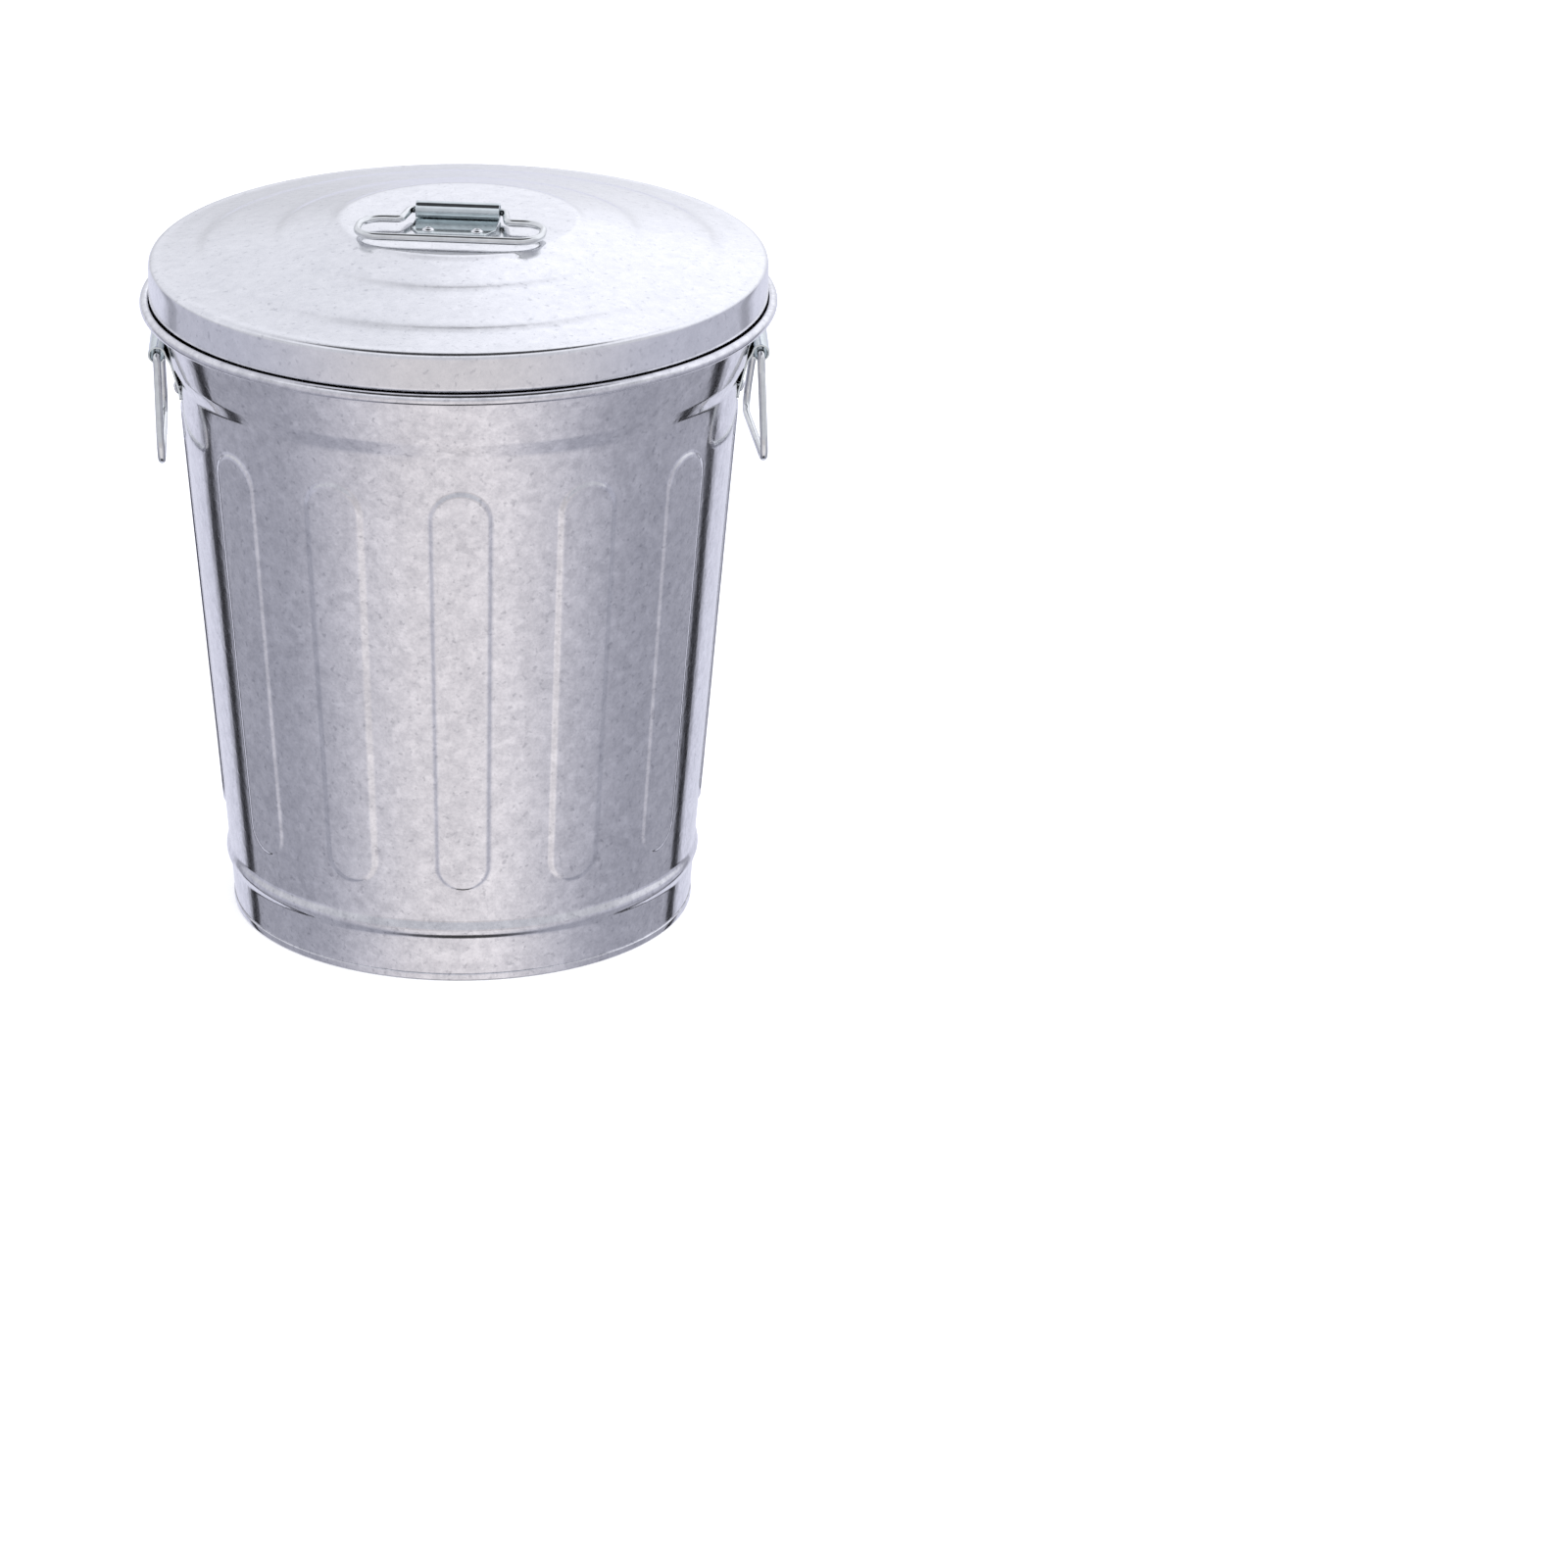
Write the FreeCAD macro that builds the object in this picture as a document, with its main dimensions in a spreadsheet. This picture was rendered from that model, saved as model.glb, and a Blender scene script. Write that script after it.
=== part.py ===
"""Round galvanized steel trash can with a lift-off lid.

Frame: millimetres, +Z up, origin at the centre of the base, the viewer looks
along +Y.  The can stands on the ring of its bottom seam at z = 0.
"""
import FreeCAD, Part
import os
import math

os.makedirs("parts", exist_ok=True)

doc = FreeCAD.newDocument("trash_can")
V = FreeCAD.Vector
UZ = V(0, 0, 1)

# ---------------------------------------------------------------- dimensions
DIMS = [
    # side wall
    ("sheet", 0.7),            # thickness of the galvanized sheet
    ("base_r", 121.4),         # outside of the wall at the floor
    ("wall_top_r", 146.1),     # outside of the wall under the collar
    ("wall_top_z", 299.2),
    ("step_r", 149.4),         # outside of the collar at its lower end
    ("step_z", 303.2),
    ("collar_r", 156.2),       # outside of the collar under the rim
    ("collar_z", 329.0),
    ("rim_r", 162.2),          # centre line of the rolled rim
    ("rim_z", 333.0),
    ("rim_tube", 2.8),         # outside radius of the roll
    ("wire_rim", 2.0),         # wire inside the roll
    ("wall_foot_z", 1.0),      # lower edge of the wall inside the seam
    ("ring_z", 29.0),          # swaged ring above the floor
    ("ring_out", 1.9),
    ("ring_half", 5.5),
    # ribs
    ("rib_arm", 2),            # ribs each side of the middle one, front and back
    ("rib_pitch", 26.8),
    ("rib_out", 1.0),
    ("rib_top_z", 278.0),
    ("rib_bottom_z", 52.0),
    ("rib_top_half", 16.4),
    ("rib_bottom_half", 14.4),
    ("seam_half", 3.6),
    ("seam_out", 0.9),
    # bottom pan
    ("hem_r", 122.1),
    ("hem_z", 3.8),
    ("pan_in_r", 119.7),
    ("pan_z", 8.5),
    # lid
    ("disc_r", 63.6),
    ("disc_z", 375.5),
    ("lid_edge_r", 157.6),
    ("lid_edge_z", 356.2),
    ("skirt_r", 160.2),
    ("skirt_z", 337.3),
    ("plug_r", 153.9),
    ("plug_z", 325.5),
    # lid handle
    ("lid_yaw", -7.5),
    ("lid_ear_x", 0.0),
    ("lid_ear_y", -1.0),
    ("ear_tube", 4.6),
    ("ear_sheet", 1.0),
    ("ear_half", 21.7),
    ("ear_plate", 28.0),
    ("ear_corner_x", 4.4),
    ("ear_corner_y", 9.5),
    ("rivet_half", 12.6),
    ("rivet_y", 22.5),
    ("rivet_head", 3.3),
    ("rivet_head_h", 1.3),
    ("rivet_shank", 1.6),
    ("lid_grip", 1.9),
    ("side_grip", 3.0),
    ("mandrel", 0.9),
    ("lid_wire", 2.0),
    ("lid_bail_half", 49.5),
    ("lid_bail_back", 16.5),
    ("lid_bail_front", 45.3),
    ("lid_bail_sag", 0.75),    # how far its front bar lies below the hinge
    # side handles
    ("side_r", 155.8),
    ("side_z", 309.2),
    ("side_tilt", 14.8),
    ("side_wire", 2.0),
    ("side_bail_half", 41.0),
    ("side_bail_drop", 52.5),
    ("side_lift", 0.06),       # gap between can and ear plate
    ("side_seat", 0.28),       # heads clear the bend at the foot of the plate
]
sheet = doc.addObject("Spreadsheet::Sheet", "Dimensions")
sheet.Label = "Dimensions"
for row, (name, value) in enumerate(DIMS, start=1):
    sheet.set("A%d" % row, name)
    sheet.set("B%d" % row, str(value))
    sheet.setAlias("B%d" % row, name)
doc.recompute()


def D(name):
    return float(sheet.get(name))


E = "Dimensions."
NODES = []


def X(expr):
    """Spell out the sheet's names in an expression."""
    out = expr
    names = sorted([n for n, _ in DIMS], key=len, reverse=True)
    marks = {}
    for i, n in enumerate(names):
        key = "\x01%d\x02" % i
        if n in out:
            out = out.replace(n, key)
            marks[key] = E + n
    for key, full in marks.items():
        out = out.replace(key, full)
    return out


def value(expr):
    """Number that an expression over the sheet's names comes to."""
    probe = doc.getObject("Probe")
    if probe is None:
        probe = doc.addObject("App::FeaturePython", "Probe")
        probe.addProperty("App::PropertyFloat", "Number")
    probe.setExpression("Number", X(expr))
    probe.recompute()
    return float(probe.Number)


def plane(body, role):
    for item in body.Origin.OriginFeatures:
        if item.Role == role:
            return item
    raise ValueError(role)


def outline(body, name, points):
    """Closed sketch on the XZ plane; each corner is tied to the sheet."""
    sk = body.newObject("Sketcher::SketchObject", name)
    sk.AttachmentSupport = [(plane(body, "XZ_Plane"), "")]
    sk.MapMode = "FlatFace"
    import Sketcher
    nums = [(value(a), value(b)) for a, b in points]
    n = len(nums)
    for i in range(n):
        a, b = nums[i], nums[(i + 1) % n]
        sk.addGeometry(Part.LineSegment(V(a[0], a[1], 0), V(b[0], b[1], 0)), False)
    for i in range(n):
        sk.addConstraint(Sketcher.Constraint("Coincident", i, 2, (i + 1) % n, 1))
    for i, (ex, ez) in enumerate(points):
        for kind, expr, num in (("DistanceX", ex, nums[i][0]), ("DistanceY", ez, nums[i][1])):
            if abs(num) < 1e-9:
                if kind == "DistanceX":
                    sk.addConstraint(Sketcher.Constraint("PointOnObject", i, 1, -2))
                else:
                    sk.addConstraint(Sketcher.Constraint("PointOnObject", i, 1, -1))
                continue
            c = sk.addConstraint(Sketcher.Constraint(kind, -1, 1, i, 1, num))
            sk.setExpression("Constraints[%d]" % c, X(expr))
    return sk


def turned(name, points):
    """Body of revolution about Z from an outline of (radius, height) corners."""
    body = doc.addObject("PartDesign::Body", name)
    sk = outline(body, name + "_profile", points)
    rev = body.newObject("PartDesign::Revolution", name + "_turn")
    rev.Profile = sk
    rev.ReferenceAxis = (sk, ["V_Axis"])
    rev.Angle = 360.0
    body.Tip = rev
    sk.Visibility = False
    return body


def feature(name, shape):
    obj = doc.addObject("Part::Feature", name)
    obj.Shape = shape
    obj.Placement = shape.Placement
    return obj


def node(obj, label):
    obj.Label = label
    NODES.append((label, obj))
    return obj


def rot(axis, deg, centre=V(0, 0, 0)):
    return FreeCAD.Placement(V(0, 0, 0), FreeCAD.Rotation(axis, deg), centre)


def moved(shape, placement):
    s = shape.copy()
    s.Placement = placement.multiply(s.Placement)
    return s


# ---------------------------------------------------------------- side wall
SLOPE = "(wall_top_r - base_r) / wall_top_z"
wall_out = [
    ("base_r", "wall_foot_z"),
    ("base_r + %s * (ring_z - ring_half)" % SLOPE, "ring_z - ring_half"),
    ("base_r + %s * ring_z + ring_out * 0.72" % SLOPE, "ring_z - ring_half * 0.5"),
    ("base_r + %s * ring_z + ring_out" % SLOPE, "ring_z"),
    ("base_r + %s * ring_z + ring_out * 0.8" % SLOPE, "ring_z + ring_half * 0.5"),
    ("base_r + %s * (ring_z + ring_half)" % SLOPE, "ring_z + ring_half"),
    ("wall_top_r", "wall_top_z"),
    ("wall_top_r + 0.6", "wall_top_z + 1.3"),
    ("step_r - 0.9", "step_z - 1.3"),
    ("step_r", "step_z"),
    ("collar_r", "collar_z"),
    ("rim_r - rim_tube - 0.1", "rim_z - 1.2"),
    ("rim_r - rim_tube + 0.4", "rim_z"),
]
wall_in = [(("%s - sheet" % a), b) for a, b in wall_out]
wall_in[-1] = ("rim_r - rim_tube", "rim_z")
wall_in[-2] = ("rim_r - rim_tube - 0.1 - sheet", "rim_z - 0.8")
wall = turned("wall_sheet", wall_out + list(reversed(wall_in)))

roll = doc.addObject("Part::Torus", "rim_roll")
roll.setExpression("Radius1", X("rim_r"))
roll.setExpression("Radius2", X("rim_tube"))
roll.Placement.Base.z = D("rim_z")
bore = doc.addObject("Part::Torus", "rim_bore")
bore.setExpression("Radius1", X("rim_r"))
bore.setExpression("Radius2", X("wire_rim + 0.05"))
bore.Placement.Base.z = D("rim_z")
doc.recompute()


def cone_r(z):
    """Outside radius of the straight wall at a height."""
    return D("base_r") + (D("wall_top_r") - D("base_r")) / D("wall_top_z") * z


def cone_skin(z0, z1, inner, outer):
    """Conical shell that follows the straight wall between two offsets."""
    a = Part.makeCone(cone_r(z0) + outer, cone_r(z1) + outer, z1 - z0, V(0, 0, z0), UZ)
    b = Part.makeCone(cone_r(z0) + inner, cone_r(z1) + inner, z1 - z0, V(0, 0, z0), UZ)
    return a.cut(b)


def stadium(inset):
    """Tapered bar with round ends, standing out along -Y."""
    rt, rb = D("rib_top_half") - inset, D("rib_bottom_half") - inset
    zt = D("rib_top_z") - D("rib_top_half")
    zb = D("rib_bottom_z") + D("rib_bottom_half")
    sn = (rt - rb) / (zt - zb)
    cs = math.sqrt(1.0 - sn * sn)
    top_l, top_r = V(-rt * cs, 0, zt - rt * sn), V(rt * cs, 0, zt - rt * sn)
    bot_l, bot_r = V(-rb * cs, 0, zb - rb * sn), V(rb * cs, 0, zb - rb * sn)
    edges = [
        Part.Arc(top_r, V(0, 0, zt + rt), top_l).toShape(),
        Part.LineSegment(top_l, bot_l).toShape(),
        Part.Arc(bot_l, V(0, 0, zb - rb), bot_r).toShape(),
        Part.LineSegment(bot_r, top_r).toShape(),
    ]
    face = Part.Face(Part.Wire(edges))
    return moved(face.extrude(V(0, -70, 0)), FreeCAD.Placement(V(0, -100, 0), FreeCAD.Rotation()))


def side_place(sign):
    """Ear frame to can frame: ear X along the can's Y, ear -Y down the collar."""
    up = rot(V(1, 0, 0), 90.0)
    lean = rot(V(1, 0, 0), D("side_tilt"))
    face = rot(UZ, 90.0 if sign > 0 else -90.0)
    spot = FreeCAD.Placement(V(sign * D("side_r"), 0, D("side_z")), FreeCAD.Rotation())
    return spot.multiply(face).multiply(lean).multiply(up)


def lid_place():
    spot = FreeCAD.Placement(
        V(D("lid_ear_x"), D("lid_ear_y"), D("disc_z") + D("ear_tube") + 0.02), FreeCAD.Rotation())
    return rot(UZ, D("lid_yaw")).multiply(spot)


def collar_radius(z):
    """Outside radius of the collar's cone at a height."""
    return D("step_r") + (D("collar_r") - D("step_r")) / (D("collar_z") - D("step_z")) * (z - D("step_z"))


def side_solid(offset):
    """Can filled up under a side ear: collar's cone, then the straight wall."""
    z0, z1 = 270.0, 325.0
    a = Part.makeCone(collar_radius(z0) + offset, collar_radius(z1) + offset, z1 - z0,
                      V(0, 0, z0), UZ)
    b = Part.makeCone(cone_r(z0) + offset, cone_r(z1) + offset, z1 - z0, V(0, 0, z0), UZ)
    return a.fuse(b)


# Frames of the rivets.  In each the rivet stands along Z at the origin, with the
# plate's outer face at z = 0.
def lid_rivets():
    seat = -D("ear_tube") + D("ear_sheet")
    return [lid_place().multiply(FreeCAD.Placement(
        V(sx * D("rivet_half"), -D("rivet_y"), seat), FreeCAD.Rotation())) for sx in (-1, 1)]


# the plate of a side ear spans from the collar's lower edge to the wall
def side_rivets(sign):
    lean = math.cos(math.radians(D("side_tilt")))
    reach = (D("side_r") - collar_radius(D("side_z"))) * lean
    seat = -reach + D("side_lift") + D("ear_sheet") + D("side_seat")
    turn = math.degrees(math.asin(D("rivet_half") / collar_radius(D("side_z"))))
    return [rot(UZ, sx * turn).multiply(side_place(sign)).multiply(FreeCAD.Placement(
        V(0, -D("rivet_y"), seat), FreeCAD.Rotation())) for sx in (-1, 1)]


def drill(shape, frames):
    for f in frames:
        n = f.Rotation.multVec(V(0, 0, 1))
        hole = Part.makeCylinder(D("rivet_shank") + 0.1, 12.0, f.Base - n * 8.0, n)
        shape = shape.cut(hole)
    return shape


shell = wall.Shape.fuse(roll.Shape).cut(bore.Shape)
zt = D("rib_top_z") + 3.0
zb = D("rib_bottom_z") - 3.0
pad = cone_skin(zb, zt, -0.5 * D("sheet"), D("rib_out")).common(stadium(0.0))
dent = cone_skin(zb, zt, -D("sheet") - 1.5, D("rib_out") - D("sheet")).common(stadium(1.3))
# front group, one rib under each handle, back group with the seam in its middle
arm = int(D("rib_arm"))
turns = [k * D("rib_pitch") for k in range(-arm, arm + 1)] + [-90.0, 90.0]
turns += [180.0 + k * D("rib_pitch") for k in range(-arm, arm + 1) if k != 0]
shell = shell.fuse([moved(pad, rot(UZ, a)) for a in turns])
shell = shell.cut(Part.makeCompound([moved(dent, rot(UZ, a)) for a in turns]))
seam_h = D("wall_top_z") - 2.0 - 38.0
seam_bar = Part.makeBox(2 * D("seam_half"), 60.0, seam_h, V(-D("seam_half"), 100.0, 38.0))
shell = shell.fuse(
    cone_skin(38.0, 38.0 + seam_h, -0.5 * D("sheet"), D("seam_out")).common(seam_bar))
for sgn in (-1, 1):
    shell = drill(shell, side_rivets(sgn))
shell = shell.removeSplitter()
node(feature("body_shell", shell), "body_shell")

wire = doc.addObject("Part::Torus", "rim_wire")
wire.setExpression("Radius1", X("rim_r"))
wire.setExpression("Radius2", X("wire_rim"))
wire.Placement.Base.z = D("rim_z")
node(wire, "rim_wire")

# ---------------------------------------------------------------- bottom pan
# the hem leans out with the wall it is folded round
FOOT_SLOPE = "%s * (ring_z - ring_half) / (ring_z - ring_half - wall_foot_z)" % SLOPE
pan = turned("bottom_pan", [
    ("0 * base_r", "pan_z"),
    ("0 * base_r", "pan_z - sheet"),
    ("pan_in_r - 2.2", "pan_z - sheet"),
    ("pan_in_r - 0.6", "pan_z - sheet - 0.6"),
    ("pan_in_r", "pan_z - sheet - 2.2"),
    ("pan_in_r", "0 * pan_z"),
    ("hem_r - 0.3", "0 * pan_z"),
    ("hem_r", "0.5 + 0 * pan_z"),
    ("hem_r + 0.25", "hem_z - 0.5"),
    ("hem_r + 0.05", "hem_z"),
    ("base_r + 0.06 + %s * (hem_z - wall_foot_z)" % FOOT_SLOPE, "hem_z"),
    ("base_r + 0.06", "wall_foot_z - 0.1"),
    ("base_r - sheet - 0.05", "wall_foot_z - 0.1"),
    ("base_r - sheet - 0.05", "pan_z - 2.3"),
    ("base_r - sheet - 0.9", "pan_z - 0.9"),
    ("pan_in_r - 1.8", "pan_z"),
])
node(pan, "bottom_pan")

# ---------------------------------------------------------------- lid
lid_out = [
    ("0 * disc_r", "disc_z"),
    ("disc_r - 1.6", "disc_z"),
    ("disc_r + 0.6", "disc_z - 1.5"),
    ("disc_r + 14", "disc_z - 3.3"),
    ("91.5 + 0 * disc_r", "disc_z - 6.6"),
    ("94.5 + 0 * disc_r", "disc_z - 7.9"),
    ("112 + 0 * disc_r", "disc_z - 10.9"),
    ("131.5 + 0 * disc_r", "disc_z - 14.8"),
    ("134.5 + 0 * disc_r", "disc_z - 16.0"),
    ("147 + 0 * disc_r", "disc_z - 17.9"),
    ("lid_edge_r - 1.2", "lid_edge_z + 0.1"),
    ("lid_edge_r + 0.4", "lid_edge_z - 0.1"),
    ("lid_edge_r + 1.5", "lid_edge_z - 0.9"),
    ("skirt_r - 0.3", "lid_edge_z - 2.1"),
    ("skirt_r - 0.1", "lid_edge_z - 3.4"),
    ("skirt_r", "skirt_z"),
    ("skirt_r - 0.5", "skirt_z - 1.3"),
    ("skirt_r - 1.6", "skirt_z - 2.3"),
    ("plug_r + 3.1", "plug_z + 6.7"),
    ("plug_r + 0.9", "plug_z + 3.5"),
    ("plug_r", "plug_z"),
]
lid_in = []
for i, (a, b) in enumerate(lid_out):
    if i <= 10:
        lid_in.append((a, "%s - sheet" % b))
    elif i == 11:
        lid_in.append(("lid_edge_r - 0.1", "lid_edge_z - sheet - 0.2"))
    elif i == 12:
        lid_in.append(("lid_edge_r + 0.9", "lid_edge_z - sheet - 0.8"))
    elif i == 16:
        lid_in.append(("skirt_r - 0.5 - sheet", "skirt_z - 0.9"))
    elif i == 17:
        lid_in.append(("skirt_r - 1.6 - sheet", "skirt_z - 1.8"))
    else:
        lid_in.append(("%s - sheet" % a, b))
lid_raw = turned("lid_sheet", lid_out + list(reversed(lid_in)))
doc.recompute()
lid_shape = drill(lid_raw.Shape, lid_rivets())
node(feature("lid_shell", lid_shape), "lid_shell")


# ---------------------------------------------------------------- ears
def roll_of(label, tube):
    """Outside of the roll that holds the wire, along X."""
    outer = doc.addObject("Part::Cylinder", label + "_roll")
    outer.setExpression("Radius", X(tube))
    outer.setExpression("Height", X("ear_half * 2"))
    outer.Placement = FreeCAD.Placement(V(-D("ear_half"), 0, 0), FreeCAD.Rotation(V(0, 1, 0), 90))
    return outer


def bore_of(label, tube, thick):
    hole = doc.addObject("Part::Cylinder", label + "_bore")
    hole.setExpression("Radius", X("%s - %s" % (tube, thick)))
    hole.setExpression("Height", X("ear_half * 2 + 2"))
    hole.Placement = FreeCAD.Placement(
        V(-D("ear_half") - 1, 0, 0), FreeCAD.Rotation(V(0, 1, 0), 90))
    return hole


def corner_cut():
    """Prisms that take off the two far corners of an ear's plate."""
    cx, cy, h, w = D("ear_corner_x"), D("ear_corner_y"), D("ear_half"), D("ear_plate")
    out = []
    for sx in (-1, 1):
        tri = Part.Face(Part.makePolygon([
            V(sx * (h - cx), -w, -20), V(sx * (h + cx), -w + 2 * cy, -20),
            V(sx * (h + cx), -w - 1, -20), V(sx * (h - cx), -w - 1, -20),
            V(sx * (h - cx), -w, -20)]))
        out.append(tri.extrude(V(0, 0, 40)))
    return out


def lid_ear():
    """Strap rolled into a loop for the wire, with a flat riveted plate."""
    strap = doc.addObject("Part::Box", "lid_ear_strap")
    strap.setExpression("Length", X("ear_half * 2"))
    strap.setExpression("Width", X("ear_plate"))
    strap.setExpression("Height", X("ear_sheet"))
    strap.Placement = FreeCAD.Placement(
        V(-D("ear_half"), -D("ear_plate"), -D("ear_tube")), FreeCAD.Rotation())
    both = doc.addObject("Part::Fuse", "lid_ear_blank")
    both.Base = roll_of("lid_ear", "ear_tube")
    both.Tool = strap
    open_roll = doc.addObject("Part::Cut", "lid_ear_rolled")
    open_roll.Base = both
    open_roll.Tool = bore_of("lid_ear", "ear_tube", "ear_sheet")
    doc.recompute()
    s = open_roll.Shape
    for cut in corner_cut():
        s = s.cut(cut)
    s = drill(moved(s, lid_place()), lid_rivets())
    return node(feature("lid_ear", s.removeSplitter()), "lid_ear")


def side_ear(label, sign):
    """The same strap, its plate bent to the round of the can."""
    where = side_place(sign)
    h, plate, tube = D("ear_half"), D("ear_plate"), D("ear_tube")
    outer = roll_of(label, "ear_tube")
    bore = bore_of(label, "ear_tube", "ear_sheet")
    doc.recompute()
    blank = Part.makeBox(2 * h, plate + 1.2, 9.0, V(-h, -plate, -tube - 4.5))
    for cut in corner_cut():
        blank = blank.cut(cut)
    web = Part.makeBox(2 * h, 4.4, 3.5 + D("ear_sheet"), V(-h, -3.2, -tube - 3.5))
    skin = moved(blank, where).common(side_solid(D("side_lift") + D("ear_sheet") * 1.034))
    neck = moved(web, where)
    s = moved(outer.Shape, where).fuse([skin, neck])
    s = s.cut(side_solid(D("side_lift"))).cut(moved(bore.Shape, where))
    s = drill(s, side_rivets(sign))
    return node(feature(label, s.removeSplitter()), label)


def rivets(label, grip_name, frames):
    """Pair of blind rivets and the mandrel stubs left inside them."""
    heads, stubs = [], []
    for where in frames:
        at = V(0, 0, 0)
        r, h = D("rivet_head"), D("rivet_head_h")
        ball_r = (r * r + h * h) / (2 * h)
        dome = Part.makeSphere(ball_r, at + V(0, 0, h - ball_r)).common(
            Part.makeCylinder(r + 1, h + 1, at, UZ))
        grip = D(grip_name)
        shank = Part.makeCylinder(D("rivet_shank"), grip + 1.0, at - V(0, 0, grip + 0.5), UZ)
        tail = Part.makeCylinder(D("rivet_shank") + 0.75, 1.6, at - V(0, 0, grip + 1.6), UZ)
        body = dome.fuse([shank, tail])
        body = body.cut(Part.makeCylinder(D("mandrel") + 0.03, 30, at - V(0, 0, 15), UZ))
        heads.append(moved(body.removeSplitter(), where))
        pin = Part.makeCylinder(D("mandrel"), grip + 1.6 + h - 0.35, at - V(0, 0, grip + 1.6), UZ)
        head = Part.makeCylinder(D("mandrel") + 0.5, 1.2, at - V(0, 0, grip + 2.8), UZ)
        stubs.append(moved(pin.fuse(head).removeSplitter(), where))
    node(feature(label, Part.makeCompound(heads)), label)
    node(feature(label + "_stubs", Part.makeCompound(stubs)), label + "_stubs")


# ---------------------------------------------------------------- wire bails
def bent_wire(points, radii, wire_r):
    """Round wire along straight runs joined by tangent arcs."""
    edges = []
    last = points[0]
    for i in range(1, len(points) - 1):
        p, a, b, r = points[i], points[i - 1], points[i + 1], radii[i - 1]
        u, w = (a - p).normalize(), (b - p).normalize()
        ang = u.getAngle(w)
        t = r / math.tan(ang / 2.0)
        p0, p1 = p + u * t, p + w * t
        bis = (u + w).normalize()
        mid = p + bis * (r / math.sin(ang / 2.0) - r)
        if (p0 - last).Length > 1e-6:
            edges.append(Part.LineSegment(last, p0).toShape())
        edges.append(Part.Arc(p0, mid, p1).toShape())
        last = p1
    edges.append(Part.LineSegment(last, points[-1]).toShape())
    path = Part.Wire(edges)
    tangent = (points[1] - points[0]).normalize()
    ring = Part.Wire([Part.Circle(points[0], tangent, wire_r).toShape()])
    pipe = Part.BRepOffsetAPI.MakePipeShell(path)
    pipe.setFrenetMode(False)
    pipe.setTransitionMode(1)
    pipe.add(ring, False, False)
    pipe.build()
    pipe.makeSolid()
    s = pipe.shape()
    print("wire", round(path.Length, 2), "volume", round(s.Volume, 1),
          "expected", round(path.Length * math.pi * wire_r ** 2, 1))
    return s


def mirrored(pts):
    return [V(-p.x, p.y, p.z) for p in reversed(pts)]


# lid bail, in the ear's frame: lies towards -Y, held by its own stiffness a
# little above the disc
half, back, front = D("lid_bail_half"), D("lid_bail_back"), D("lid_bail_front")
slant = math.degrees(math.asin(D("lid_bail_sag") / front))
wr = D("lid_wire")
left_half = [V(-1.2, 0, 0), V(-24.6, 0, 0), V(-27.6, -back, 0), V(-(half - wr), -back, 0),
             V(-(half - wr), -front, 0)]
right_half = mirrored(left_half)
lid_pts = left_half + right_half
lid_radii = [3.4, 3.6, 12.0, 12.0, 12.0, 12.0, 3.6, 3.4]
lid_wire_shape = bent_wire(lid_pts, lid_radii, wr)
lid_at = lid_place().multiply(rot(V(1, 0, 0), slant))
node(feature("lid_bail", moved(lid_wire_shape, lid_at)), "lid_bail")
print("lid bail slant", round(slant, 2))

# side bail, in a frame with the hinge along X and the bail hanging towards -Y;
# the wire is bent by hand, so its lower corners stand a little out of plane
sh, sd = D("side_bail_half"), D("side_bail_drop")


def side_wire_path(at_minus, at_plus):
    """Corner points; the two numbers say how far each corner stands out."""
    out = []
    for sx, off in ((-1, at_minus), (1, at_plus)):
        leg = [V(sx * 1.2, 0, 0), V(sx * 24.8, 0, 0), V(sx * 26.4, -9.0, 0.17 * off),
               V(sx * sh, -sd + 12.0, 0.77 * off), V(sx * (sh - 1.5), -sd, off)]
        out += leg if sx < 0 else list(reversed(leg))
    return out


side_radii = [3.2, 8.0, 14.0, 7.5, 7.5, 14.0, 8.0, 3.2]
BENDS = {"left": (-0.5, -2.2), "right": (1.5, -5.0)}

for sgn, side in ((-1, "left"), (1, "right")):
    side_ear(side + "_ear", sgn)
    rivets(side + "_ear_rivets", "side_grip", side_rivets(sgn))
    hang = FreeCAD.Placement(V(sgn * D("side_r"), 0, D("side_z")), FreeCAD.Rotation()).multiply(
        rot(UZ, 90.0 if sgn > 0 else -90.0)).multiply(rot(V(1, 0, 0), 90.0))
    wire_shape = bent_wire(side_wire_path(*BENDS[side]), side_radii, D("side_wire"))
    node(feature(side + "_bail", moved(wire_shape, hang)), side + "_bail")

lid_ear()
rivets("lid_ear_rivets", "lid_grip", lid_rivets())

# ---------------------------------------------------------------- checks, export
doc.recompute()
for obj in doc.Objects:
    bad = [s for s in obj.State if s in ("Invalid", "Error")]
    if bad:
        raise RuntimeError("%s is %s" % (obj.Name, bad))
for name in os.listdir("parts"):
    if name.endswith(".step"):
        os.remove(os.path.join("parts", name))
for label, obj in NODES:
    s = obj.Shape
    if s.isNull() or not s.isValid() or not s.Solids:
        raise RuntimeError("bad shape: " + label)
    s.exportStep(os.path.join("parts", label + ".step"))
    bb = s.BoundBox
    print("%-24s solids %d faces %3d vol %10.1f  x %.1f..%.1f y %.1f..%.1f z %.1f..%.1f" % (
        label, len(s.Solids), len(s.Faces), s.Volume,
        bb.XMin, bb.XMax, bb.YMin, bb.YMax, bb.ZMin, bb.ZMax))
lid_at_axis = lid_place().multVec(V(0, 0, 0))
lid_axis = lid_place().Rotation.multVec(V(1, 0, 0))
print("lid hinge at", lid_at_axis, "axis", lid_axis)
print("side hinge at", D("side_r"), D("side_z"))
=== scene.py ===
import bpy
import math
import random
from mathutils import Matrix, Vector, noise


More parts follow.
